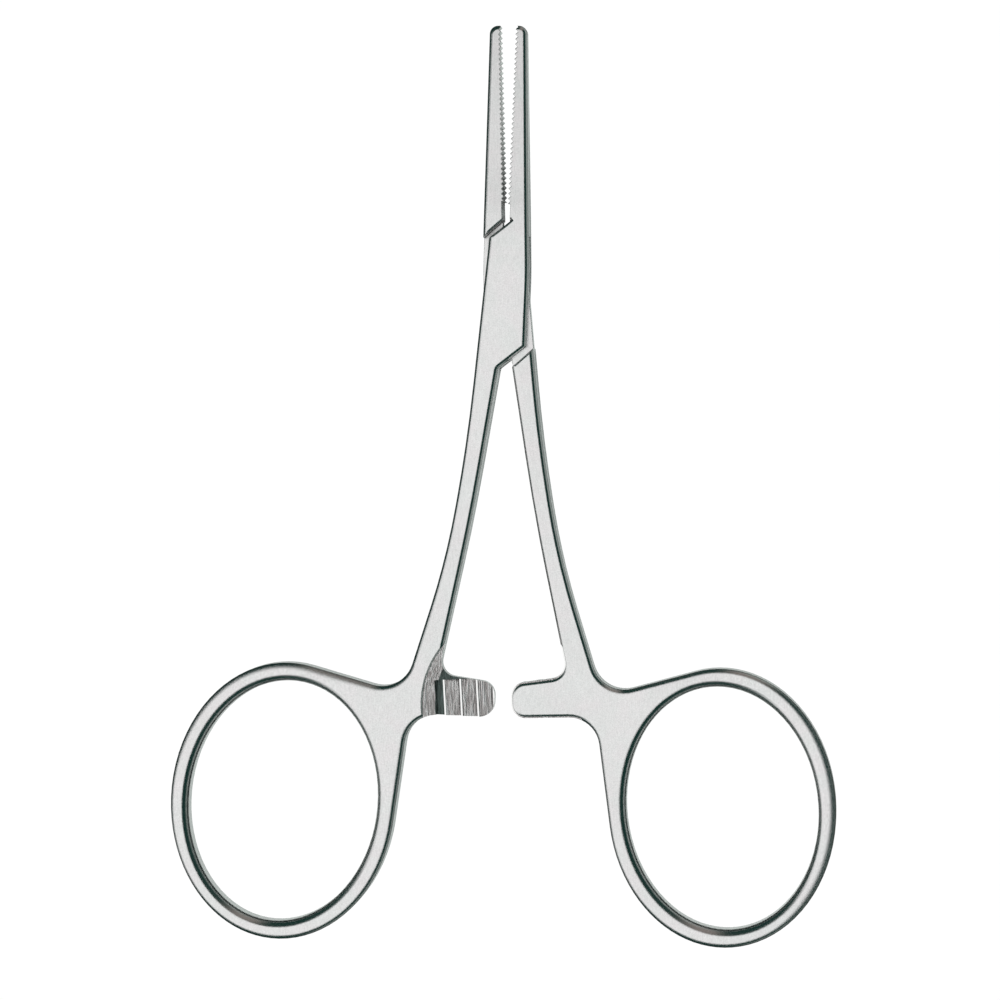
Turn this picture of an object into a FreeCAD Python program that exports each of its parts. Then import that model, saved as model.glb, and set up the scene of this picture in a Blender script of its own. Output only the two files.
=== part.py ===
import FreeCAD, Part
import math
import os
import Sketcher
from FreeCAD import Placement, Rotation, Vector
from types import SimpleNamespace

# Box-lock hemostat forceps, 100 mm class, lying flat.
# +Y points to the jaw tips, +Z out of the front face, and the origin is on the pivot axis where it meets
# the back of the lock. Each arm is drawn in its closed frame: pivot axis at the origin, middle of the
# thickness at zero height, and the meeting line of the jaws along Y. Its Placement then lifts the arm by
# half the lock and turns it by half of the resting opening.
# Heights below the pivot are given as positive sizes.

SIZES = [
    # Lock and pin
    ("lock_thickness", 4.2, "front to back over both cheeks"),
    ("lock_half_width", 2.45, "pivot axis to the jaw side of the lock"),
    ("lock_flat_y", 8.6, "half height of the flat of the lock"),
    ("tongue_thickness", 1.4, "blade of the tongue arm inside the box"),
    ("lock_play", 0.05, "between the tongue and each cheek"),
    ("tongue_radius", 6.8, "rounded ends of the tongue, about the pivot"),
    ("tongue_stock_top", 0.6, "left on the tongue's upper end until it is rounded"),
    ("tongue_stock_bottom", 0.2, "left on its lower end"),
    ("slot_end_play", 0.07, "between the tongue's end and the slot's end"),
    ("pin_radius", 1.0, "pivot pin, peened flush in both cheeks"),
    ("pin_play", 0.03, "between the pin and the tongue's bore"),
    ("box_slant", 40.0, "slant of the shoulders of the box, in degrees"),
    ("box_top", 7.85, "upper edge of the box on the meeting line"),
    ("box_bottom", 7.55, "lower edge of the box on the meeting line"),
    ("upper_shoulder_gap", 0.33, "box to the tongue arm's jaw shoulder when closed, along Y"),
    ("lower_shoulder_gap", 0.65, "box to the tongue arm's shank shoulder when closed, along Y"),
    ("shoulder_round", 0.3, "rounding of the shoulders' edges"),
    ("shoulder_overrun", 0.45, "how far the box's upper rounding runs into its own jaw"),
    ("side_top_x", 1.99, "meeting line to the shank side of the lock, at its top"),
    ("rest_half_opening", 1.8, "each arm's turn away from closed in the resting pose, in degrees"),
    # Jaws
    ("jaw_length", 29.2, "pivot axis to the tips"),
    ("jaw_base_y", 2.5, "where the jaw's taper meets the side of the lock"),
    ("jaw_base_bend", 40.0, "radius that joins the jaw's back to the lock"),
    ("jaw_tip_width", 1.1, "one jaw at the tip, meeting line to its back"),
    ("jaw_tip_corner", 0.9, "rounding of the tip's outer corner"),
    ("jaw_tip_thickness", 2.0, "front to back at the tip"),
    ("serration_pitch", 0.54, "from one tooth of the jaw to the next"),
    ("serration_depth", 0.25, "crest to root"),
    ("serration_crest", 0.05, "flat left on each crest"),
    ("serration_gap", 0.06, "left between the meshed serrations"),
    ("serrated_length", 19.5, "from the tip towards the lock"),
    # Shanks
    ("crotch_half_gap", 0.45, "meeting line to the inner edge, under the box"),
    ("crotch_radius", 0.5, "radius in the corner between that edge and the box"),
    ("inner_bend_x", 2.6, "bend in the inner edge"),
    ("inner_bend_y", 24.0, "and its height"),
    ("inner_bend_radius", 250.0, "and its radius"),
    ("outer_bend_x", 3.5, "first bend in the outer edge"),
    ("outer_bend_y", 15.6, "and its height"),
    ("outer_bend_radius", 180.0, "and its radius"),
    ("outer_flare_x", 5.3, "second bend in the outer edge"),
    ("outer_flare_y", 28.6, "and its height"),
    ("outer_flare_radius", 85.0, "and its radius"),
    ("valley_x", 9.5, "corner between the shank and the loop's shoulder"),
    ("valley_y", 43.65, "and its height"),
    ("valley_radius", 3.5, "and its radius"),
    ("shank_thin_y", 34.0, "where the shank comes down to the loop's thickness"),
    ("shank_blend_radius", 200.0, "joins the shank's taper to the loop's flat"),
    ("lock_blend_radius", 60.0, "joins the tapers to the lock's flat"),
    # Finger loops
    ("loop_thickness", 3.2, "front to back of loops, ratchet bars and lower shanks"),
    ("loop_x", 22.2, "meeting line to the centre of the loop"),
    ("loop_y", 55.95, "and its height"),
    ("loop_half_length", 15.1, "outside, along the loop"),
    ("loop_half_width", 12.3, "outside, across the loop"),
    ("loop_wall", 1.93, "width of the loop's band"),
    ("loop_lean", 1.7, "the loop's top leans to the meeting line, in degrees"),
    ("hole_lean", 4.6, "and its hole leans further"),
    # Ratchet
    ("bar_root_x", 5.75, "corner between the shank and the bar"),
    ("bar_root_y", 41.4, "and its height"),
    ("bar_root_radius", 1.6, "and its radius"),
    ("bar_reach", 0.42, "how far the bar's end passes the meeting line"),
    ("bar_end_y", 42.1, "height of the end's upper corner"),
    ("bar_end_radius", 1.6, "and the radius of both corners of the end"),
    ("bar_bottom", 45.85, "height of the bar's lower edge"),
    ("bar_heel_x", 8.75, "corner between the bar and the loop's side"),
    ("bar_heel_radius", 3.3, "and its radius"),
    ("tooth_pitch", 1.8, "from one ratchet tooth to the next"),
    ("tooth_depth", 0.6, "crest to root"),
    ("tooth_play", 0.2, "front to back, between the meshed ratchets"),
    ("tooth_start", 0.08, "the first crest would stand this far past the bar's end"),
    ("tooth_flank", 0.25, "width of a tooth's steep side, seen from the front"),
    ("tooth_crest", 0.08, "flat left on each crest"),
    ("tooth_lean", 5.4, "the bar's slope, which the teeth stand square to, in degrees"),
    ("tooth_cut_span", 5.0, "length of the cuts, across the bar"),
    ("last_groove", 1.1, "width of the groove behind the last tooth"),
    ("mill_x", 2.7, "axis of the cone that clears the bar's other half, past the meeting line"),
    ("mill_y", 44.3, "and its height"),
    ("mill_radius", 8.75, "foot of that cone, at the teeth's crests"),
    ("mill_slope", 45.0, "slope of that cone, in degrees"),
    # Rounding of the long edges
    ("edge_round", 0.45, "along the outline"),
    ("loop_round", 0.75, "round the loop's hole"),
]

# Numbers that aren't sizes of the object
TOOTH_COUNT = 3
STOCK = 1.0
FAR = 12.0
WHOLE = 90.0
SMALL = 1e-4
FIRST_BEVEL = 0.634
SECOND_BEVEL = 0.27


class Measure:
    """A size that holds both its number and the sheet's formula for it."""

    def __init__(self, number, formula):
        self.number = number
        self.formula = formula

    def joined(self, sign, other, number):
        return Measure(number, "(" + self.formula + " " + sign + " " + other.formula + ")")

    def __add__(self, other):
        return self.joined("+", measured(other), self.number + measured(other).number)

    def __sub__(self, other):
        return self.joined("-", measured(other), self.number - measured(other).number)

    def __mul__(self, other):
        return self.joined("*", measured(other), self.number * measured(other).number)

    def __truediv__(self, other):
        return self.joined("/", measured(other), self.number / measured(other).number)

    def __neg__(self):
        return measured(0.0) - self


def measured(value):
    if isinstance(value, Measure):
        return value
    return Measure(float(value), repr(float(value)))


def tangent(angle):
    return Measure(math.tan(math.radians(angle.number)), "tan(" + angle.formula + ")")


def cosine(angle):
    return Measure(math.cos(math.radians(angle.number)), "cos(" + angle.formula + ")")


def sine(angle):
    return Measure(math.sin(math.radians(angle.number)), "sin(" + angle.formula + ")")


def square_root(value):
    return Measure(math.sqrt(value.number), "sqrt(" + value.formula + ")")


def whole_part(value):
    return Measure(float(math.floor(value.number)), "floor(" + value.formula + ")")


def make_sheet():
    """Write the sizes into the document's sheet and return them as measures."""
    sheet = doc.addObject("Spreadsheet::Sheet", "Sizes")
    measures = SimpleNamespace()
    for row, (name, value, meaning) in enumerate(SIZES, start=1):
        sheet.set("A" + str(row), name)
        sheet.set("B" + str(row), str(value))
        sheet.set("C" + str(row), meaning)
        sheet.setAlias("B" + str(row), name)
        setattr(measures, name, Measure(value, "Sizes." + name))
    doc.recompute()
    return measures


doc = FreeCAD.newDocument("hemostat_forceps")
size = make_sheet()

# Places that several pieces share
lock_half = size.lock_thickness / 2
loop_half = size.loop_thickness / 2
tongue_half = size.tongue_thickness / 2
rise = tangent(size.box_slant)
crest_x = (size.serration_gap - size.serration_depth) / 2
root_x = (size.serration_gap + size.serration_depth) / 2
serration_count = whole_part(size.serrated_length / size.serration_pitch)
crest_z = (size.tooth_depth - size.tooth_play) / 2
base_z = -(size.tooth_depth + size.tooth_play) / 2
bar_middle_y = (size.bar_end_y + size.bar_bottom) / 2


# Sketching

def bind(item, path, measure):
    item.setExpression(path, measure.formula)


def base_plane(body, role):
    return next(item for item in body.Origin.OriginFeatures if item.Role == role)


def new_sketch(body, name, role, offset=None):
    sketch = body.newObject("Sketcher::SketchObject", name)
    sketch.AttachmentSupport = [(base_plane(body, role), "")]
    sketch.MapMode = "FlatFace"
    if offset:
        sketch.AttachmentOffset = offset
    return sketch


def fix_point(sketch, geometry, end, x, y):
    """Dimension one point of a sketch from the sketch's origin."""
    for kind, measure in (("DistanceX", x), ("DistanceY", y)):
        rule = Sketcher.Constraint(kind, -1, 1, geometry, end, measure.number)
        bind(sketch, "Constraints[" + str(sketch.addConstraint(rule)) + "]", measure)


def fix_value(sketch, kind, geometry, measure):
    rule = Sketcher.Constraint(kind, geometry, measure.number)
    bind(sketch, "Constraints[" + str(sketch.addConstraint(rule)) + "]", measure)


def corner(x, y, radius=None, through=None):
    """A corner of an outline, sharp or rounded. Its run to the next may be an arc through a point."""
    return SimpleNamespace(x=measured(x), y=measured(y), radius=radius, through=through, oval=False)


def oval(x, y, half_width, half_length, lean):
    """An ellipse that an outline runs round. Its long axis leans from the vertical by an angle."""
    return SimpleNamespace(x=x, y=y, half_width=half_width, half_length=half_length, lean=lean,
                           through=None, oval=True)


def at(point):
    return Vector(point.x.number, point.y.number, 0)


def long_axis(ring):
    lean = math.radians(ring.lean.number)
    return Vector(-math.sin(lean), math.cos(lean), 0)


def touch_point(ring, outside, side):
    """Where a straight line from an outside point touches an ellipse, on its left (1) or right (-1)."""
    along = long_axis(ring)
    across = Vector(along.y, -along.x, 0)
    away = outside - at(ring)
    width, length = ring.half_width.number, ring.half_length.number
    u, v = away.dot(across) / width, away.dot(along) / length
    angle = math.atan2(v, u) + side * math.acos(1 / math.hypot(u, v))
    return at(ring) + across * (width * math.cos(angle)) + along * (length * math.sin(angle))


def whole_oval(ring):
    along = long_axis(ring)
    across = Vector(-along.y, along.x, 0)
    return Part.Ellipse(at(ring) + along * ring.half_length.number,
                        at(ring) + across * ring.half_width.number, at(ring))


def oval_arc(ring, start, stop):
    """The part of an ellipse that runs anticlockwise from one of its points to another."""
    ellipse = whole_oval(ring)
    first, last = ellipse.parameter(start), ellipse.parameter(stop)
    if last <= first:
        last += 2 * math.pi
    return Part.ArcOfEllipse(ellipse, first, last)


def rounding(before, here, after, radius):
    """The arc that rounds a corner, and where the path enters and leaves it."""
    back = (before - here).normalize()
    ahead = (after - here).normalize()
    half_angle = back.getAngle(ahead) / 2
    entry = here + back * (radius / math.tan(half_angle))
    leave = here + ahead * (radius / math.tan(half_angle))
    centre = here + (back + ahead).normalize() * (radius / math.sin(half_angle))
    turns_left = (here - before).cross(after - here).z > 0
    start, stop = (entry, leave) if turns_left else (leave, entry)
    first, last = (math.atan2(point.y - centre.y, point.x - centre.x) for point in (start, stop))
    if last <= first:
        last += 2 * math.pi
    circle = Part.Circle(centre, Vector(0, 0, 1), radius)
    return Part.ArcOfCircle(circle, first, last), entry, leave


def bend_of(items, index, clockwise):
    """The curve of an outline at one of its items, if any, and where the path enters and leaves it."""
    this, before, after = items[index], items[index - 1], items[(index + 1) % len(items)]
    side = -1 if clockwise else 1
    if this.oval:
        entry, leave = touch_point(this, at(before), side), touch_point(this, at(after), -side)
        start, stop = (leave, entry) if clockwise else (entry, leave)
        return oval_arc(this, start, stop), entry, leave
    if this.radius is None:
        return None, at(this), at(this)
    came_from = touch_point(before, at(this), -side) if before.oval else at(before)
    goes_to = touch_point(after, at(this), side) if after.oval else at(after)
    return rounding(came_from, at(this), goes_to, this.radius.number)


def add_run(sketch, this, start, stop):
    """Add the run that leaves a corner, and return it with the ends where it starts and stops."""
    if this.through is None:
        return sketch.addGeometry(Part.LineSegment(start, stop), False), 1, 2
    run = sketch.addGeometry(Part.Arc(start, at(this.through), stop), False)
    hold_on(sketch, this.through, run)
    if sketch.getPoint(run, 1).distanceToPoint(start) < SMALL:
        return run, 1, 2
    return run, 2, 1


def hold_on(sketch, point, *runs):
    """Put a dimensioned construction point on one or more runs."""
    mark = sketch.addGeometry(Part.Point(at(point)), True)
    fix_point(sketch, mark, 1, point.x, point.y)
    for run in runs:
        sketch.addConstraint(Sketcher.Constraint("PointOnObject", mark, 1, run))


def fix_oval(sketch, ring, geometry):
    """Dimension an ellipse by its centre, its two axes and its lean."""
    fix_point(sketch, geometry, 3, ring.x, ring.y)
    long_line = len(sketch.Geometry)
    sketch.exposeInternalGeometry(geometry)
    fix_value(sketch, "Distance", long_line, ring.half_length * 2)
    fix_value(sketch, "Distance", long_line + 1, ring.half_width * 2)
    line = sketch.Geometry[long_line]
    upright = 90.0 if line.EndPoint.y > line.StartPoint.y else -90.0
    heading = ring.lean + upright
    rule = Sketcher.Constraint("Angle", long_line, math.radians(heading.number))
    index = sketch.addConstraint(rule)
    bind(sketch, "Constraints[" + str(index) + "]", heading * Measure(1.0, "1 deg"))


def draw_outline(sketch, items, clockwise=True):
    """Draw a closed outline: runs between corners, with roundings and ellipses tangent to them."""
    bends = [bend_of(items, index, clockwise) for index in range(len(items))]
    nexts = bends[1:] + bends[:1]
    runs = [add_run(sketch, this, bend[2], after[1]) for this, bend, after in zip(items, bends, nexts)]
    for index, this in enumerate(items):
        curve, entry, _ = bends[index]
        arriving, _, arriving_end = runs[index - 1]
        leaving, leaving_end, _ = runs[index]
        if curve is None:
            rule = Sketcher.Constraint("Coincident", arriving, arriving_end, leaving, leaving_end)
            sketch.addConstraint(rule)
            fix_point(sketch, leaving, leaving_end, this.x, this.y)
            continue
        bend = sketch.addGeometry(curve, False)
        near, far = (1, 2) if sketch.getPoint(bend, 1).distanceToPoint(entry) < SMALL else (2, 1)
        sketch.addConstraint(Sketcher.Constraint("Tangent", arriving, arriving_end, bend, near))
        sketch.addConstraint(Sketcher.Constraint("Tangent", bend, far, leaving, leaving_end))
        if this.oval:
            fix_oval(sketch, this, bend)
        else:
            fix_value(sketch, "Radius", bend, this.radius)
            hold_on(sketch, this, arriving, leaving)


def draw_circle(sketch, radius):
    circle = sketch.addGeometry(Part.Circle(Vector(0, 0, 0), Vector(0, 0, 1), radius.number), False)
    sketch.addConstraint(Sketcher.Constraint("Coincident", circle, 3, -1, 1))
    fix_value(sketch, "Radius", circle, radius)


# Features

def volume(item):
    doc.recompute()
    return item.Shape.Volume


def pad(body, sketch, length):
    """Raise a profile by the same amount to both sides of its plane."""
    feature = body.newObject("PartDesign::Pad", sketch.Name + "_pad")
    feature.Profile = sketch
    feature.SideType = "Symmetric"
    bind(feature, "Length", measured(length))
    doc.recompute()
    return feature


def pocket(body, sketch, length, direction=0):
    """Cut a profile to both sides of its plane, or with direction 1 or -1 along or against its normal."""
    before = volume(body)
    feature = body.newObject("PartDesign::Pocket", sketch.Name + "_cut")
    feature.Profile = sketch
    feature.SideType = "One side" if direction else "Symmetric"
    feature.Reversed = direction > 0
    bind(feature, "Length", measured(length))
    if volume(body) > before - SMALL:
        raise RuntimeError(sketch.Name + " cuts nothing")
    return feature


def mirror_front_to_back(body, feature):
    copy = body.newObject("PartDesign::Mirrored", feature.Name + "_mirrored")
    copy.Originals = [feature]
    copy.MirrorPlane = (base_plane(body, "XY_Plane"), [""])
    body.Tip = copy
    doc.recompute()


def repeat(body, feature, direction, spacing, count, backwards):
    pattern = body.newObject("PartDesign::LinearPattern", feature.Name + "_row")
    pattern.Originals = [feature]
    pattern.Direction = direction
    pattern.Mode = "Spacing"
    pattern.Reversed = backwards
    bind(pattern, "Offset", spacing)
    bind(pattern, "Occurrences", count)
    body.Tip = pattern
    doc.recompute()


# Shared forms of the two arms. A hand of 1 is the box arm, whose jaw is right of the meeting line and whose
# shank is left of it. A hand of -1 is the tongue arm, its mirror image.

def arm_corner(hand, x, y, radius=None):
    return corner(measured(x) * hand, y, radius)


def arm_loop(hand, inset, lean):
    return oval(-size.loop_x * hand, -size.loop_y, size.loop_half_width - inset,
                size.loop_half_length - inset, -lean * hand)


def first_groove(hand):
    """How far the first serration lies below the tip, in pitches. The jaws' are half a pitch apart."""
    return 0.25 if hand > 0 else -0.25


def lock_ends(hand):
    """Heights of the lock's four corners: jaw side below, crotch, shank side above, meeting line above."""
    s = size
    if hand > 0:
        return (s.lock_half_width * rise - s.box_bottom, -s.crotch_half_gap * rise - s.box_bottom,
                s.box_top - s.side_top_x * rise, s.box_top + root_x * rise)
    top = s.tongue_radius + s.tongue_stock_top
    bottom = -s.tongue_radius - s.tongue_stock_bottom
    return bottom, bottom, top, top


def plan_outline(hand):
    """An arm's outline in plan, clockwise from the tip for the box arm."""
    s = size
    step_y = s.jaw_length - s.serration_pitch * (serration_count + (first_groove(hand) - 0.5))
    jaw_side_low, crotch_y, side_top, line_top = lock_ends(hand)
    return [
        arm_corner(hand, crest_x, s.jaw_length),
        arm_corner(hand, s.jaw_tip_width, s.jaw_length, s.jaw_tip_corner),
        arm_corner(hand, s.lock_half_width, s.jaw_base_y, s.jaw_base_bend),
        arm_corner(hand, s.lock_half_width, jaw_side_low),
        arm_corner(hand, -s.crotch_half_gap, crotch_y, s.crotch_radius),
        arm_corner(hand, -s.inner_bend_x, -s.inner_bend_y, s.inner_bend_radius),
        arm_corner(hand, -s.bar_root_x, -s.bar_root_y, s.bar_root_radius),
        arm_corner(hand, s.bar_reach, -s.bar_end_y, s.bar_end_radius),
        arm_corner(hand, s.bar_reach, -s.bar_bottom, s.bar_end_radius),
        arm_corner(hand, -s.bar_heel_x, -s.bar_bottom, s.bar_heel_radius),
        arm_loop(hand, measured(0.0), s.loop_lean),
        arm_corner(hand, -s.valley_x, -s.valley_y, s.valley_radius),
        arm_corner(hand, -s.outer_flare_x, -s.outer_flare_y, s.outer_flare_radius),
        arm_corner(hand, -s.outer_bend_x, -s.outer_bend_y, s.outer_bend_radius),
        arm_corner(hand, -s.side_top_x, side_top),
        arm_corner(hand, root_x, line_top),
        arm_corner(hand, root_x, step_y),
        arm_corner(hand, crest_x, step_y),
    ]


def side_outline():
    """What is cut off the front, seen from the side: jaws and shanks taper away from the lock."""
    s = size
    above = lock_half + 2 * STOCK
    return [
        corner(-WHOLE, loop_half),
        corner(-s.shank_thin_y, loop_half, s.shank_blend_radius),
        corner(-s.lock_flat_y, lock_half, s.lock_blend_radius),
        corner(s.lock_flat_y, lock_half, s.lock_blend_radius),
        corner(s.jaw_length, s.jaw_tip_thickness / 2),
        corner(WHOLE, s.jaw_tip_thickness / 2),
        corner(WHOLE, above),
        corner(-WHOLE, above),
    ]


def make_blank(name, hand):
    """An arm as forged: outline, finger loop and thickness, with its edges still sharp."""
    body = doc.addObject("PartDesign::Body", name + "_blank")
    plan = new_sketch(body, name + "_plan", "XY_Plane")
    draw_outline(plan, plan_outline(hand), clockwise=hand > 0)
    pad(body, plan, size.lock_thickness + 2 * STOCK)
    loop = new_sketch(body, name + "_loop", "XY_Plane")
    ring = arm_loop(hand, size.loop_wall, size.hole_lean)
    fix_oval(loop, ring, loop.addGeometry(whole_oval(ring), False))
    pocket(body, loop, size.lock_thickness + 4 * STOCK)
    side = new_sketch(body, name + "_side", "YZ_Plane")
    draw_outline(side, side_outline())
    mirror_front_to_back(body, pocket(body, side, 2 * WHOLE))
    return body


def wall_beside(shape, edge):
    """The upright wall that meets a front or back face at an edge, or None."""
    middle = edge.valueAt((edge.FirstParameter + edge.LastParameter) / 2)
    walls, faces = [], []
    for face in shape.ancestorsOfType(edge, Part.Face):
        slope = abs(face.normalAt(*face.Surface.parameter(middle)).z)
        if slope < SMALL:
            walls.append(face)
        elif slope > 0.9:
            faces.append(face)
    return walls[0] if len(walls) == 1 and len(faces) == 1 else None


def stays_sharp(wall):
    """Whether a wall is a biting face or an upper end of the lock, which aren't rounded with the rest."""
    if not isinstance(wall.Surface, Part.Plane):
        return False
    middle = wall.CenterOfMass
    on_meeting_line = abs(middle.x) < root_x.number + SMALL and middle.y > 0
    above_pivot = 0 < middle.y < size.jaw_length.number - SMALL
    faces_sideways = abs(wall.normalAt(0, 0).y) < 0.2
    return on_meeting_line or (above_pivot and not faces_sideways)


def radius_along(edge):
    """The rounding of an edge: the loop's hole is rounded more than the outline."""
    return size.loop_round.number if edge.isClosed() else size.edge_round.number


def outline_edges(shape):
    """The edges of the outline and the hole, front and back, each with its rounding."""
    found = []
    for index, edge in enumerate(shape.Edges, start=1):
        wall = wall_beside(shape, edge)
        if wall is not None and not stays_sharp(wall):
            found.append((index, radius_along(edge)))
    return found


def bevel_edges(shape):
    """The edges where a 45 degree bevel meets a front or back face, and in the hole also its wall."""
    found = []
    for index, edge in enumerate(shape.Edges, start=1):
        middle = edge.valueAt((edge.FirstParameter + edge.LastParameter) / 2)
        faces = shape.ancestorsOfType(edge, Part.Face)
        slopes = sorted(abs(face.normalAt(*face.Surface.parameter(middle)).z) for face in faces)
        meets_face = 0.6 < slopes[0] < 0.8 and slopes[-1] > 0.9
        meets_wall = slopes[0] < SMALL and 0.6 < slopes[-1] < 0.8
        if meets_face or (meets_wall and edge.isClosed()):
            found.append((index, radius_along(edge)))
    return found


def bevel(base, name, edges, share):
    """Bevel edges evenly, by a share of the rounding that the bevels stand for."""
    bevelled = doc.addObject("Part::Chamfer", name)
    bevelled.Base = base
    bevelled.Edges = [(index, share * radius, share * radius) for index, radius in edges]
    doc.recompute()
    return bevelled


def round_edges(blank, name):
    """Round the long edges in two passes of narrow bevels, which keep the part light to draw: one at
    45 degrees, then one between it and the flat. The lists of edges are made from the sheet's values."""
    first = bevel(blank, name + "_bevel", outline_edges(blank.Shape), FIRST_BEVEL)
    return bevel(first, name + "_forging", bevel_edges(first.Shape), SECOND_BEVEL)


def start_arm(name, hand):
    """The body that holds an arm's machining, on its forging."""
    body = doc.addObject("PartDesign::Body", name)
    body.Label = name
    body.BaseFeature = round_edges(make_blank(name, hand), name)
    doc.recompute()
    return body


def cut_serrations(body, hand):
    """Cut the first groove at the tip and repeat it down the jaw."""
    s = size
    half_width = (s.serration_pitch - s.serration_crest) / 2
    centre_y = s.jaw_length - s.serration_pitch * first_groove(hand)
    open_x = crest_x - s.serration_depth
    groove = new_sketch(body, body.Name + "_serration", "XY_Plane")
    draw_outline(groove, [
        arm_corner(hand, open_x, centre_y + half_width),
        arm_corner(hand, crest_x, centre_y + half_width),
        arm_corner(hand, root_x, centre_y),
        arm_corner(hand, crest_x, centre_y - half_width),
        arm_corner(hand, open_x, centre_y - half_width),
    ])
    first = pocket(body, groove, s.lock_thickness + 2 * STOCK)
    repeat(body, first, (groove, ["V_Axis"]), s.serration_pitch, serration_count, backwards=True)


def clear_half_of_bar(body, hand):
    """Cut away the bar's front half (back half on the tongue arm) with a cone, down to the teeth's crests."""
    s = size
    height = loop_half - crest_z + STOCK
    cone = body.newObject("PartDesign::SubtractiveCone", body.Name + "_clearance")
    cone.AttachmentSupport = [(base_plane(body, "XY_Plane"), "")]
    cone.MapMode = "FlatFace"
    cone.AttachmentOffset = Placement(Vector(0, 0, 0), Rotation(Vector(1, 0, 0), 0 if hand > 0 else 180))
    bind(cone, "AttachmentOffset.Base.x", s.mill_x * hand)
    bind(cone, "AttachmentOffset.Base.y", -s.mill_y)
    bind(cone, "AttachmentOffset.Base.z", crest_z * hand)
    bind(cone, "Radius1", s.mill_radius)
    bind(cone, "Radius2", s.mill_radius + height * tangent(s.mill_slope))
    bind(cone, "Height", height)
    doc.recompute()


def ratchet_sketch(body, name, hand):
    """A sketch that looks along the teeth, with its origin at the first crest."""
    s = size
    lean = Rotation(Vector(0, 1, 0), -s.tooth_lean.number * hand)
    sketch = new_sketch(body, name, "XZ_Plane", Placement(Vector(0, 0, 0), lean))
    bind(sketch, "AttachmentOffset.Base.x", (s.bar_reach + s.tooth_start) * hand)
    bind(sketch, "AttachmentOffset.Base.z", bar_middle_y)
    bind(sketch, "AttachmentOffset.Rotation.Angle", s.tooth_lean * Measure(1.0, "1 deg"))
    return sketch


def cut_teeth(body, hand):
    """Cut the ratchet: equal grooves from the end of the bar, and a last, flat one behind them."""
    s = size
    above = crest_z + s.tooth_depth
    behind = -s.tooth_pitch * TOOTH_COUNT
    groove = ratchet_sketch(body, body.Name + "_tooth", hand)
    draw_outline(groove, [
        corner(0, above * hand),
        corner(0, crest_z * hand),
        corner(-s.tooth_flank * hand, base_z * hand),
        corner((s.tooth_crest - s.tooth_pitch) * hand, crest_z * hand),
        corner((s.tooth_crest - s.tooth_pitch) * hand, above * hand),
    ])
    first = pocket(body, groove, s.tooth_cut_span)
    repeat(body, first, (groove, ["H_Axis"]), s.tooth_pitch, measured(TOOTH_COUNT), backwards=hand > 0)
    last = ratchet_sketch(body, body.Name + "_last_groove", hand)
    draw_outline(last, [
        corner(behind * hand, above * hand),
        corner(behind * hand, crest_z * hand),
        corner((behind - s.tooth_flank) * hand, base_z * hand),
        corner((behind - s.last_groove) * hand, base_z * hand),
        corner((behind - s.last_groove) * hand, above * hand),
    ])
    pocket(body, last, s.tooth_cut_span)


def round_shoulder(body, name, distance, inward, end=None):
    """Round the front and back edge of a shoulder. distance is the shoulder's, from the pivot, and inward
    is 1 or -1, the way from the edge into the metal. The cut stops at end, or runs both ways without it."""
    s = size
    metal = s.shoulder_round * inward
    near = lock_half - s.shoulder_round
    bow = s.shoulder_round * (1 - math.sqrt(0.5))
    turn = Placement(Vector(0, 0, 0), Rotation(Vector(0, 1, 0), s.box_slant.number))
    profile = new_sketch(body, name, "YZ_Plane", turn)
    bind(profile, "AttachmentOffset.Rotation.Angle", s.box_slant * Measure(1.0, "1 deg"))
    draw_outline(profile, [
        corner(distance, near, through=corner(distance + bow * inward, lock_half - bow)),
        corner(distance + metal, lock_half),
        corner(distance + metal, lock_half + STOCK),
        corner(distance - measured(STOCK / 4) * inward, lock_half + STOCK),
        corner(distance - measured(STOCK / 4) * inward, near),
    ])
    cut = pocket(body, profile, end or 2 * FAR, direction=1 if end else 0)
    mirror_front_to_back(body, cut)


# The three pieces

def make_box_arm():
    body = start_arm("box_arm", 1)
    slot_end = size.tongue_radius + size.slot_end_play
    diagonal = slot_end * math.sqrt(0.5)
    top_y = square_root(slot_end * slot_end - root_x * root_x)
    bottom_y = -square_root(slot_end * slot_end - size.crotch_half_gap * size.crotch_half_gap)
    slot = new_sketch(body, "slot", "XY_Plane")
    draw_outline(slot, [
        corner(root_x, top_y),
        corner(root_x, FAR),
        corner(-FAR, FAR),
        corner(-FAR, 0),
        corner(-slot_end, 0, through=corner(-diagonal, -diagonal)),
        corner(-size.crotch_half_gap, bottom_y),
        corner(-size.crotch_half_gap, -FAR),
        corner(FAR, -FAR),
        corner(FAR, 0),
        corner(slot_end, 0, through=corner(diagonal, diagonal)),
    ])
    pocket(body, slot, size.tongue_thickness + size.lock_play * 2)
    hole = new_sketch(body, "pin_hole", "XY_Plane")
    draw_circle(hole, size.pin_radius)
    pocket(body, hole, size.lock_thickness + STOCK)
    shoulder = size.box_top * cosine(size.box_slant)
    overrun = size.box_top * sine(size.box_slant) + size.shoulder_overrun / cosine(size.box_slant)
    round_shoulder(body, "box_shoulder", shoulder, -1, overrun)
    cut_serrations(body, 1)
    clear_half_of_bar(body, 1)
    cut_teeth(body, 1)
    return body


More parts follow.
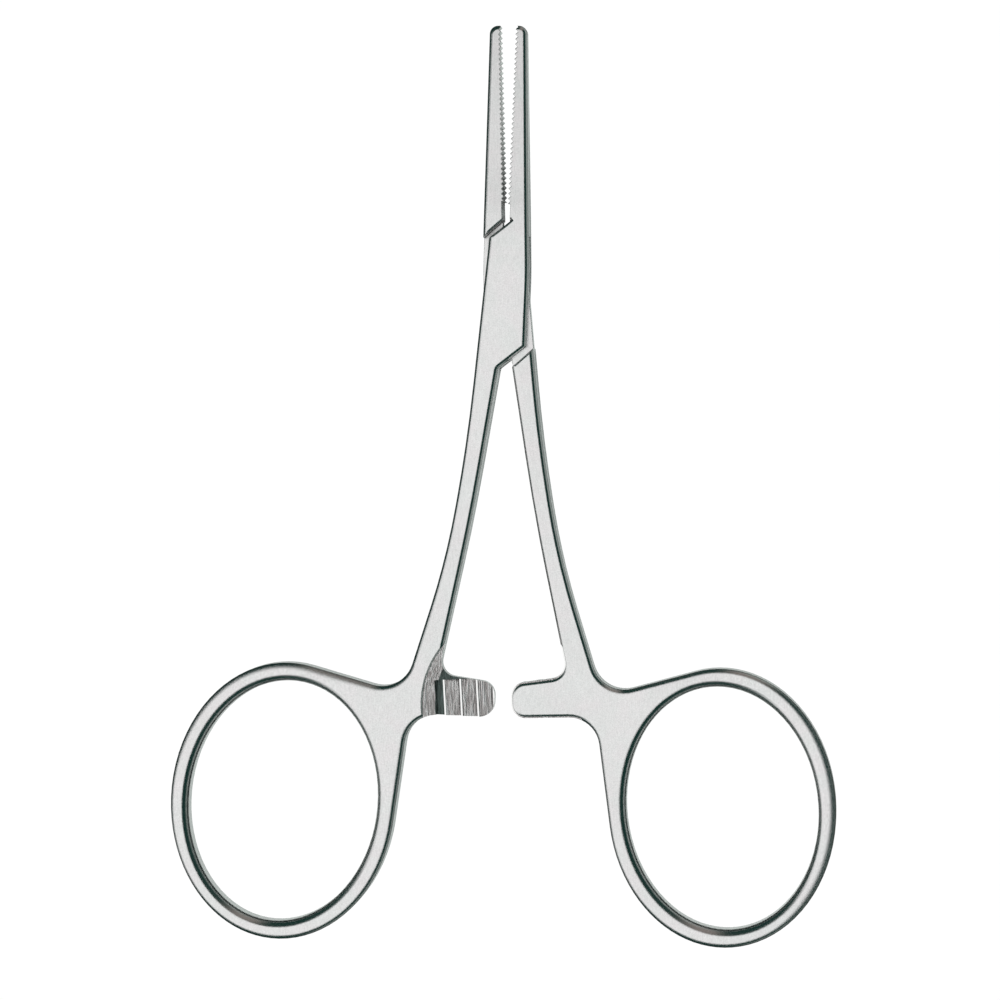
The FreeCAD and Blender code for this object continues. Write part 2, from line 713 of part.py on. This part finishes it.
def make_tongue_arm():
    body = start_arm("tongue_arm", -1)
    radius = size.tongue_radius
    diagonal = radius * math.sqrt(0.5)
    top_y = square_root(radius * radius - root_x * root_x)
    bottom_y = -square_root(radius * radius - size.crotch_half_gap * size.crotch_half_gap)
    ends = new_sketch(body, "tongue_ends", "XY_Plane")
    draw_outline(ends, [
        corner(radius, 0, through=corner(diagonal, diagonal)),
        corner(-root_x, top_y),
        corner(-root_x, size.box_top),
        corner(FAR, size.box_top),
        corner(FAR, 0),
    ])
    pocket(body, ends, size.lock_thickness + STOCK)
    lower = new_sketch(body, "tongue_lower_end", "XY_Plane")
    draw_outline(lower, [
        corner(-radius, 0, through=corner(-diagonal, -diagonal)),
        corner(size.crotch_half_gap, bottom_y),
        corner(size.crotch_half_gap, -size.box_bottom),
        corner(-FAR, -size.box_bottom),
        corner(-FAR, 0),
    ])
    pocket(body, lower, size.lock_thickness + STOCK)
    upper_y = size.box_top + size.upper_shoulder_gap
    lower_y = -size.box_bottom - size.lower_shoulder_gap
    reach = measured(FAR / 2)
    face = new_sketch(body, "tongue_face", "XY_Plane")
    bind(face, "AttachmentOffset.Base.z", tongue_half)
    draw_outline(face, [
        corner(-reach, upper_y - reach * rise),
        corner(reach, upper_y + reach * rise),
        corner(reach, lower_y + reach * rise),
        corner(-reach, lower_y - reach * rise),
    ])
    mirror_front_to_back(body, pocket(body, face, size.lock_thickness, direction=1))
    bore = new_sketch(body, "pin_bore", "XY_Plane")
    draw_circle(bore, size.pin_radius + size.pin_play)
    pocket(body, bore, size.lock_thickness)
    round_shoulder(body, "jaw_shoulder", upper_y * cosine(size.box_slant), 1)
    round_shoulder(body, "shank_shoulder", lower_y * cosine(size.box_slant), -1)
    cut_serrations(body, -1)
    clear_half_of_bar(body, -1)
    cut_teeth(body, -1)
    return body


def make_pivot_pin():
    body = doc.addObject("PartDesign::Body", "pivot_pin")
    body.Label = "pivot_pin"
    section = new_sketch(body, "pin_section", "XY_Plane")
    draw_circle(section, size.pin_radius)
    pad(body, section, size.lock_thickness)
    return body


def place(body, turn):
    """Lift a piece until the back of the lock lies at zero height, and open it to its resting angle."""
    body.Placement = Placement(Vector(0, 0, 0), Rotation(Vector(0, 0, 1), turn.number))
    bind(body, "Placement.Base.z", lock_half)
    bind(body, "Placement.Rotation.Angle", turn * Measure(1.0, "1 deg"))


def check_document():
    for item in doc.Objects:
        if "Invalid" in item.State or "Error" in item.State:
            raise RuntimeError(item.Name + " did not compute")


def export(body):
    shape = body.Shape
    if shape.isNull() or not shape.isValid() or len(shape.Solids) != 1:
        raise RuntimeError(body.Label + " is not one valid solid")
    shape.exportStep("parts/" + body.Label + ".step")
    print(body.Label, "volume", round(shape.Volume, 2))


os.makedirs("parts", exist_ok=True)
pieces = [
    (make_box_arm(), -size.rest_half_opening),
    (make_tongue_arm(), size.rest_half_opening),
    (make_pivot_pin(), -size.rest_half_opening),
]
for piece, turn in pieces:
    place(piece, turn)
doc.recompute()
check_document()
for piece, turn in pieces:
    export(piece)
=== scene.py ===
"""Looks of the hemostat forceps: satin steel on a white table under a soft studio light.

The object lies flat: +X to the right in the picture, +Y towards the jaw tips, +Z up to the camera.
Lengths are in metres, written as millimetres times MM. A pair named as limits gives the values
where a change starts and where it is complete.
"""
import math

import bpy
from mathutils import Matrix, Vector

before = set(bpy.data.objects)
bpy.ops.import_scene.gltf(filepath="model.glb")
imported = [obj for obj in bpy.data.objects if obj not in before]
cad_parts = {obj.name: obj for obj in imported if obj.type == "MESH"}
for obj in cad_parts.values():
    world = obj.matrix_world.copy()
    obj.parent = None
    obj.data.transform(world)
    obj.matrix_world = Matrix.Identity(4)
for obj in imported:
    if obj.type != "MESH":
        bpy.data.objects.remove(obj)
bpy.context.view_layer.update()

# Units, and values that several functions use
MM = 0.001
FULL_TURN = 360
LEVEL_PART = (1, 1, 0)
SURFACE_SAMPLES = 6

# Camera, fitted to the photograph's outline
CAMERA_PLACE = Vector((38.87, -11.62, 449.9)) * MM
CAMERA_AIM = Vector((-0.549, -22.184, 2.1)) * MM
CAMERA_ROLL = -0.0088
CAMERA_LENS = 148.93
CAMERA_SENSOR = 36.0
CAMERA_CLIP = 0.01

# Finger loops, as upright ovals: centres, half sizes, and the share of them where the outer edge starts
LEFT_LOOP = (-23.9 * MM, -55.2 * MM, 0.0)
RIGHT_LOOP = (23.9 * MM, -55.2 * MM, 0.0)
LOOP_REACH = (12.3 * MM, 15.1 * MM, 1.0)
OUTER_EDGE_LIMITS = (0.91, 0.96)

# Rounding of the long edges: radii, each added to the last, and where each of them holds
EDGE_RADIUS = 0.14 * MM
LOOP_RADIUS = 0.17 * MM
WORN_RADIUS = 0.60 * MM
PIN_LIMITS = (1.8 * MM, 2.6 * MM)
LOOP_LIMITS = (9 * MM, 11 * MM)
WORN_LIMITS = (4 * MM, 11 * MM)
LEFT_WORN_TOWARDS = (-0.42, 0.91, 0.0)
RIGHT_WORN_TOWARDS = (1.0, 0.0, 0.0)

# Milled room round each ratchet: how far its axis lies past the middle, its Y and its radius
MILL_PAST = 1.31 * MM
MILL_Y = -44.36 * MM
MILL_RADIUS = 10.15 * MM
MILL_EDGE = 0.1 * MM

# Heights that the faces cut in that room lie between
CUT_HEIGHTS = (0.62 * MM, 3.58 * MM)
CUT_HEIGHT_EDGE = 0.04 * MM

# Kinds of cut face by their normal: its Z on slopes and on level floors, its X on the teeth's left flanks
SLOPE_LIMITS = (0.15, 0.30)
LEVEL_LIMITS = (0.96, 0.98)
FLANK_LIMITS = (-0.3, -0.7)

# Sideways part of a cut face's normal once it is levelled, beside an upright part of 1
CUT_LEAN = 0.12

# Textures: waves per metre, detail, and where it isn't even, the stretch along X, Y and Z
BRUSHING = (10000.0, 2.0, (1.0, 0.09, 1.0))
FINE_GRAIN = (8000.0, 2.0)
MILL_STROKES = (6000.0, 3.0, (1.0, 0.10, 1.0))
CLOUDS = (150.0, 3.0)
TINTS = (400.0, 2.0)

# Relief and metallic share, with the satin surface's value first and the cut surface's second
BUMP_DEPTHS = (0.003 * MM, 0.06 * MM)
FINE_SHARES = (0.6, 0.3)
METALLIC = (1.0, 0.85)

# Roughness: its range over the clouds of the satin surface, and what a cut surface adds
SATIN_ROUGHNESS = (0.15, 0.21)
CLOUD_LIMITS = (0.3, 0.7)
CUT_ROUGHNESS = 0.22

# Colours of the satin surface, and its streaks
STEEL_WARM = (0.80, 0.785, 0.787)
STEEL_COOL = (0.777, 0.790, 0.781)
TINT_LIMITS = (0.35, 0.65)
BRUSHING_SHARE = 0.6
STREAK_LIMITS = (0.5, 1.1)
STREAK_SHADES = (0.87, 1.09)

# Colours of the cut surface: dark and light strokes, the painted shade of the level floors, and the
# teeth's flanks, whose near-white colour is partly a painted highlight
STROKE_DARK = (0.56, 0.52, 0.515)
STROKE_LIGHT = (1.0, 0.965, 0.96)
STROKE_LIMITS = (0.40, 0.60)
FLOOR_SHADE = (0.14, 0.19, 0.18)
FLANK_HIGHLIGHT_COLOUR = (0.96, 0.96, 0.95)

# Painted shade in crevices: the reach that closes them, their shades, and where along Y the serrations
# start
CREVICE_REACH = 0.4 * MM
CREVICE_LIMITS = (0.55, 0.88)
CREVICE_SHADES = (0.15, 1.1)
SERRATION_LIMITS = (5 * MM, 6 * MM)

# Table: its size, the zone near the object where a pool of light is painted, the painted contact shadow
# in that zone, and its gloss
TABLE_SIZE = 3.0
NEAR_REACH = 3.5 * MM
NEAR_LIMITS = (0.995, 0.93)
# Painted reflection: for the steel the table is dark beyond the near zone, with a painted pool of light
# and a painted glow within it
PAINTED_DARK_COLOUR = (0.06, 0.08, 0.075)
PAINTED_POOL_COLOUR = (0.85, 0.86, 0.85)
NEAR_LIGHT = (0.93, 1.0, 0.97)
# Painted contact shadow: the glow fades where the table closes in against the object
CONTACT_REACH = 1.0 * MM
CONTACT_LIMITS = (0.52, 0.72)
CONTACT_LIGHT = (0.02, 0.45)
GLOSS_COLOUR = (0.9, 0.9, 0.9)
GLOSS_ROUGHNESS = 0.2
GRAZING_LIMITS = (0.55, 0.85)
GRAZING_GLOSS = 0.97
GLOW_COLOUR = (1, 1, 1)
GLOW_STRENGTH = 1.05
GLOW_SHARE = 0.97

# Panels round the studio, dark but for a brown one: azimuth from +X in degrees, colour
PANELS = [
    (0, (0.010, 0.035, 0.030)),
    (52, (0.015, 0.040, 0.035)),
    (66, (0.26, 0.235, 0.22)),
    (82, (0.26, 0.235, 0.22)),
    (92, (0.012, 0.038, 0.032)),
    (359, (0.010, 0.035, 0.030)),
]

# Horizon, dark on the left and light on the right
HORIZON_LEFT = (0.012, 0.035, 0.030)
HORIZON_RIGHT = (0.42, 0.46, 0.44)
HORIZON_LIMITS = (0.28, 0.02)
RIGHTWARD_LIMITS = (-0.1, 0.5)

# Ceiling, as an oval seen overhead: centre, half sizes, and the shares of them where it ends
CEILING_COLOUR = (0.985, 0.985, 0.985)
CEILING_CENTRE = (-0.365, -0.16, 0.0)
CEILING_REACH = (0.535, 0.48, 1.0)
CEILING_LIMITS = (0.85, 1.20)

# Numbers of a Mix node's two inputs and its output, for each kind of value
MIX_SOCKETS = {"FLOAT": (2, 3, 0), "VECTOR": (4, 5, 1), "RGBA": (6, 7, 2)}


class Graph:
    """A node tree under construction."""

    def __init__(self, tree):
        self.tree = tree
        tree.nodes.clear()

    def set(self, socket, value):
        """Feed a socket from another socket, or give it a constant; a colour is red, green and blue."""
        if isinstance(value, bpy.types.NodeSocket):
            self.tree.links.new(value, socket)
        elif socket.type == "RGBA":
            socket.default_value = (*value, 1)
        else:
            socket.default_value = value

    def node(self, kind, inputs=None, **settings):
        """A new node with its properties set, and then its inputs, by name or number."""
        made = self.tree.nodes.new("ShaderNode" + kind)
        for name, value in settings.items():
            setattr(made, name, value)
        for key, value in (inputs or {}).items():
            self.set(made.inputs[key], value)
        return made

    def math(self, operation, *values):
        return self.node("Math", dict(enumerate(values)), operation=operation).outputs[0]

    def vector(self, operation, first, second=None):
        """The result of a vector operation; SCALE takes a number as its second value."""
        inputs = {0: first}
        if second is not None:
            inputs["Scale" if operation == "SCALE" else 1] = second
        made = self.node("VectorMath", inputs, operation=operation)
        return made.outputs["Value" if operation in ("LENGTH", "DOT_PRODUCT") else "Vector"]

    def split(self, vector):
        """A vector's three parts, by the names X, Y and Z."""
        return self.node("SeparateXYZ", {0: vector}).outputs

    def scale(self, value, low, high, to_low=0.0, to_high=1.0, smooth=False):
        """Map a value from one range to another, clamped."""
        inputs = dict(enumerate((value, low, high, to_low, to_high)))
        made = self.node("MapRange", inputs, interpolation_type="SMOOTHSTEP" if smooth else "LINEAR")
        return made.outputs[0]

    def mix(self, share, first, second, kind="RGBA"):
        """The first value at a share of 0, and the second at a share of 1."""
        first_input, second_input, output = MIX_SOCKETS[kind]
        inputs = {0: share, first_input: first, second_input: second}
        return self.node("Mix", inputs, data_type=kind).outputs[output]

    def noise(self, place, waves, detail, stretch=(1, 1, 1)):
        """Noise with so many waves per metre, drawn out along an axis whose stretch is under 1."""
        stretched = self.vector("MULTIPLY", place, stretch)
        made = self.node("TexNoise", {"Vector": stretched, "Scale": waves, "Detail": detail})
        return made.outputs[0]

    def openness(self, reach):
        """1 on an open face, and less the more stands over it within a reach."""
        made = self.node("AmbientOcclusion", {"Distance": reach}, samples=SURFACE_SAMPLES)
        return made.outputs["AO"]


def new_material(name):
    material = bpy.data.materials.new(name)
    material.use_nodes = True
    return material, Graph(material.node_tree)


def inside(graph, value, low, high, blend):
    """1 where a value lies between two limits, fading to 0 past them."""
    rises = graph.scale(value, low - blend, low + blend, smooth=True)
    falls = graph.scale(value, high - blend, high + blend, 1.0, 0.0, smooth=True)
    return graph.math("MULTIPLY", rises, falls)


def cut_zone(graph, axes, upright):
    """1 on the ratchets' cut faces, which lie between the bars' front and back faces."""
    outward = graph.math("ADD", graph.math("ABSOLUTE", axes["X"]), MILL_PAST)
    upward = graph.math("SUBTRACT", axes["Y"], MILL_Y)
    squares = [graph.math("MULTIPLY", part, part) for part in (outward, upward)]
    from_axis = graph.math("SQRT", graph.math("ADD", *squares))
    near = graph.scale(from_axis, MILL_RADIUS, MILL_RADIUS - MILL_EDGE)
    deep = inside(graph, axes["Z"], *CUT_HEIGHTS, CUT_HEIGHT_EDGE)
    no_wall = graph.scale(upright, *SLOPE_LIMITS)
    return graph.math("MULTIPLY", graph.math("MULTIPLY", near, deep), no_wall)


def worn_side(graph, place, centre, towards):
    """1 on the outer edge of a finger loop where it is ground rounder, fading away from there."""
    from_centre = graph.vector("MULTIPLY", graph.vector("SUBTRACT", place, centre), LEVEL_PART)
    out = graph.vector("DOT_PRODUCT", from_centre, towards)
    share = graph.vector("LENGTH", graph.vector("DIVIDE", from_centre, LOOP_REACH))
    outer = graph.scale(share, *OUTER_EDGE_LIMITS, smooth=True)
    return graph.math("MULTIPLY", outer, graph.scale(out, *WORN_LIMITS, smooth=True))


def rounding(graph, place, axes):
    """Radius of the long edges' rounding: none round the flush pin, most on the loops."""
    loops = graph.scale(graph.math("ABSOLUTE", axes["X"]), *LOOP_LIMITS)
    from_pin = graph.vector("LENGTH", graph.vector("MULTIPLY", place, LEVEL_PART))
    left = worn_side(graph, place, LEFT_LOOP, LEFT_WORN_TOWARDS)
    right = worn_side(graph, place, RIGHT_LOOP, RIGHT_WORN_TOWARDS)
    worn = graph.math("MULTIPLY", loops, graph.math("ADD", left, right))
    radius = graph.math("MULTIPLY", graph.scale(from_pin, *PIN_LIMITS), EDGE_RADIUS)
    radius = graph.math("ADD", radius, graph.math("MULTIPLY", loops, LOOP_RADIUS))
    return graph.math("ADD", radius, graph.math("MULTIPLY", worn, WORN_RADIUS))


def levelled(graph, normal):
    """A cut face's normal turned towards the vertical, as on the fine level steps that a mill leaves."""
    aside = graph.vector("NORMALIZE", graph.vector("MULTIPLY", normal, LEVEL_PART))
    upright = graph.node("CombineXYZ", {"Z": graph.math("SIGN", graph.split(normal)["Z"])})
    tilted = graph.vector("ADD", graph.vector("SCALE", aside, CUT_LEAN), upright.outputs[0])
    return graph.vector("NORMALIZE", tilted)


def serration_shade(graph, axes, crevice_shade):
    """Painted shade: 1 away from the jaws' serrations, and less the deeper in their roots."""
    serrated = graph.scale(axes["Y"], *SERRATION_LIMITS)
    closed = graph.math("SUBTRACT", 1.0, graph.math("MINIMUM", crevice_shade, 1.0))
    return graph.math("SUBTRACT", 1.0, graph.math("MULTIPLY", closed, serrated))


def satin_colour(graph, place, axes, grain, crevice_shade):
    """Steel in faint warm and cool patches, streaked along its grain, with painted shade in the
    serrations' roots.
    """
    patches = graph.scale(graph.noise(place, *TINTS), *TINT_LIMITS)
    streaks = graph.scale(grain, *STREAK_LIMITS, *STREAK_SHADES)
    shade = graph.math("MULTIPLY", streaks, serration_shade(graph, axes, crevice_shade))
    return graph.vector("SCALE", graph.mix(patches, STEEL_WARM, STEEL_COOL), shade)


def cut_colour(graph, strokes, crevice_shade, upright, flank):
    """Coarse mill strokes, with painted shade in the roots and on the level floors between the teeth, and
    flanks painted near-white as part of their highlight.
    """
    stroked = graph.mix(graph.scale(strokes, *STROKE_LIMITS), STROKE_DARK, STROKE_LIGHT)
    # Painted shade: the slopes are darkened in their roots, and the level floors are darkened all over
    slopes = graph.vector("SCALE", stroked, crevice_shade)
    floors = graph.vector("MULTIPLY", stroked, FLOOR_SHADE)
    grooved = graph.mix(graph.scale(upright, *LEVEL_LIMITS), slopes, floors)
    # Painted highlight, in part: the flanks take a near-white colour, lighter than the satin steel
    return graph.mix(flank, grooved, FLANK_HIGHLIGHT_COLOUR)


def steel_normal(graph, place, axes, cut, height, depth):
    """Rounded long edges and levelled cut faces, with the texture's relief on both."""
    bevel = graph.node("Bevel", {"Radius": rounding(graph, place, axes)}, samples=SURFACE_SAMPLES)
    cut_normal = levelled(graph, graph.node("NewGeometry").outputs["Normal"])
    shape = graph.mix(cut, bevel.outputs[0], cut_normal, "VECTOR")
    relief = {"Strength": 1.0, "Distance": depth, "Height": height, "Normal": shape}
    return graph.node("Bump", relief).outputs[0]


def satin_steel():
    """Steel brushed along the instrument, and coarsely machined where the ratchets are cut."""
    material, graph = new_material("satin_steel")
    coordinates = graph.node("TexCoord").outputs
    place = coordinates["Object"]
    axes = graph.split(place)
    facing = graph.split(coordinates["Normal"])
    upright = graph.math("ABSOLUTE", facing["Z"])
    flank = graph.scale(facing["X"], *FLANK_LIMITS)
    cut = cut_zone(graph, axes, upright)
    rough = graph.math("MULTIPLY", cut, graph.math("SUBTRACT", 1.0, flank))

    brushing = graph.noise(place, *BRUSHING)
    strokes = graph.noise(place, *MILL_STROKES)
    fine = graph.noise(place, *FINE_GRAIN)
    heights = [graph.math("ADD", coarse, graph.math("MULTIPLY", fine, share))
               for coarse, share in zip((brushing, strokes), FINE_SHARES)]
    height = graph.mix(rough, *heights, "FLOAT")
    depth = graph.scale(rough, 0.0, 1.0, *BUMP_DEPTHS)

    grain = graph.math("ADD", graph.math("MULTIPLY", brushing, BRUSHING_SHARE), fine)
    # Painted shade: the colour is darkened by how closed in a face is, in the roots of the serrations and
    # of the teeth
    crevice_shade = graph.scale(graph.openness(CREVICE_REACH), *CREVICE_LIMITS, *CREVICE_SHADES)
    satin = satin_colour(graph, place, axes, grain, crevice_shade)
    machined = cut_colour(graph, strokes, crevice_shade, upright, flank)
    smooth = graph.scale(graph.noise(place, *CLOUDS), *CLOUD_LIMITS, *SATIN_ROUGHNESS)
    shader = graph.node("BsdfPrincipled", {
        "Base Color": graph.mix(cut, satin, machined),
        "Metallic": graph.scale(rough, 0.0, 1.0, *METALLIC),
        "Roughness": graph.math("ADD", smooth, graph.math("MULTIPLY", rough, CUT_ROUGHNESS)),
        "Normal": steel_normal(graph, place, axes, cut, height, depth),
    })
    graph.node("OutputMaterial", {"Surface": shader.outputs[0]})
    return material


def white_table():
    """A table that glows white for the camera; for the steel it is painted dark, with a painted pool of
    glowing light near the object and a painted contact shadow in it.
    """
    material, graph = new_material("white_table")
    # Painted pool of light: as the steel sees it, the table is light near the object and dark beyond
    near = graph.scale(graph.openness(NEAR_REACH), *NEAR_LIMITS)
    painted_pool_cloth = graph.node("BsdfDiffuse", {"Color": graph.mix(near, PAINTED_DARK_COLOUR, PAINTED_POOL_COLOUR)})
    # Painted glow near the object, fading to a painted contact shadow where the table meets it
    contact_shadowed_glow = graph.scale(graph.openness(CONTACT_REACH), *CONTACT_LIMITS, *CONTACT_LIGHT)
    faint = graph.node("Emission", {"Color": NEAR_LIGHT, "Strength": graph.math("MULTIPLY", near, contact_shadowed_glow)})
    glowing_cloth = graph.node("AddShader", {0: painted_pool_cloth.outputs[0], 1: faint.outputs[0]})
    gloss = graph.node("BsdfGlossy", {"Color": GLOSS_COLOUR, "Roughness": GLOSS_ROUGHNESS})
    facing_away = graph.node("LayerWeight").outputs["Facing"]
    grazing = graph.scale(facing_away, *GRAZING_LIMITS, 0.0, GRAZING_GLOSS)
    top = graph.node("MixShader", {0: grazing, 1: glowing_cloth.outputs[0], 2: gloss.outputs[0]})
    glow = graph.node("Emission", {"Color": GLOW_COLOUR, "Strength": GLOW_STRENGTH})
    seen = graph.math("MULTIPLY", graph.node("LightPath").outputs["Is Camera Ray"], GLOW_SHARE)
    shader = graph.node("MixShader", {0: seen, 1: top.outputs[0], 2: glow.outputs[0]})
    graph.node("OutputMaterial", {"Surface": shader.outputs[0]})
    return material


def add_floor():
    bpy.ops.mesh.primitive_plane_add(size=TABLE_SIZE, location=(0, 0, 0))
    floor = bpy.context.object
    floor.name = "table_top"
    floor.data.materials.append(white_table())


def add_camera():
    """Look from the fitted place at the fitted aim, a little from the right."""
    data = bpy.data.cameras.new("camera")
    data.lens = CAMERA_LENS
    data.sensor_width = CAMERA_SENSOR
    data.clip_start = CAMERA_CLIP
    camera = bpy.data.objects.new("camera", data)
    bpy.context.collection.objects.link(camera)
    back = (CAMERA_PLACE - CAMERA_AIM).normalized()
    up = Vector((math.sin(CAMERA_ROLL), math.cos(CAMERA_ROLL), 0))
    right = up.cross(back).normalized()
    turned = Matrix((right, back.cross(right), back)).transposed().to_4x4()
    camera.matrix_world = Matrix.Translation(CAMERA_PLACE) @ turned
    bpy.context.scene.camera = camera


def panel_ring(graph, turn_share):
    """The panels' colours round the studio, blended from each to the next."""
    ring = graph.node("ValToRGB", {0: turn_share})
    elements = ring.color_ramp.elements
    elements.remove(elements[1])
    for number, (azimuth, colour) in enumerate(PANELS):
        element = elements[0] if number == 0 else elements.new(azimuth / FULL_TURN)
        element.position = azimuth / FULL_TURN
        element.color = (*colour, 1)
    return ring.outputs[0]


def set_studio():
    """The world: a soft white ceiling that leans to the left, and panels round it."""
    world = bpy.data.worlds.new("studio")
    world.use_nodes = True
    graph = Graph(world.node_tree)
    direction = graph.node("TexCoord").outputs["Generated"]
    axes = graph.split(direction)
    turn = graph.math("ARCTAN2", axes["Y"], axes["X"])
    panels = panel_ring(graph, graph.math("FRACT", graph.math("DIVIDE", turn, 2 * math.pi)))

    level = graph.vector("MULTIPLY", direction, LEVEL_PART)
    offset = graph.vector("DIVIDE", graph.vector("SUBTRACT", level, CEILING_CENTRE), CEILING_REACH)
    beyond = graph.scale(graph.vector("LENGTH", offset), *CEILING_LIMITS, smooth=True)
    low = graph.scale(axes["Z"], *HORIZON_LIMITS, smooth=True)
    rightward = graph.scale(axes["X"], *RIGHTWARD_LIMITS, smooth=True)
    sides = graph.mix(low, panels, graph.mix(rightward, HORIZON_LEFT, HORIZON_RIGHT))
    colour = graph.mix(beyond, CEILING_COLOUR, sides)
    background = graph.node("Background", {"Color": colour, "Strength": 1.0})
    graph.node("OutputWorld", {"Surface": background.outputs[0]})
    bpy.context.scene.world = world


steel = satin_steel()
for node in ("box_arm", "tongue_arm", "pivot_pin"):
    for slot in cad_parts[node].material_slots:
        slot.material = steel

add_floor()
add_camera()
set_studio()
bpy.context.scene.view_settings.view_transform = "Standard"
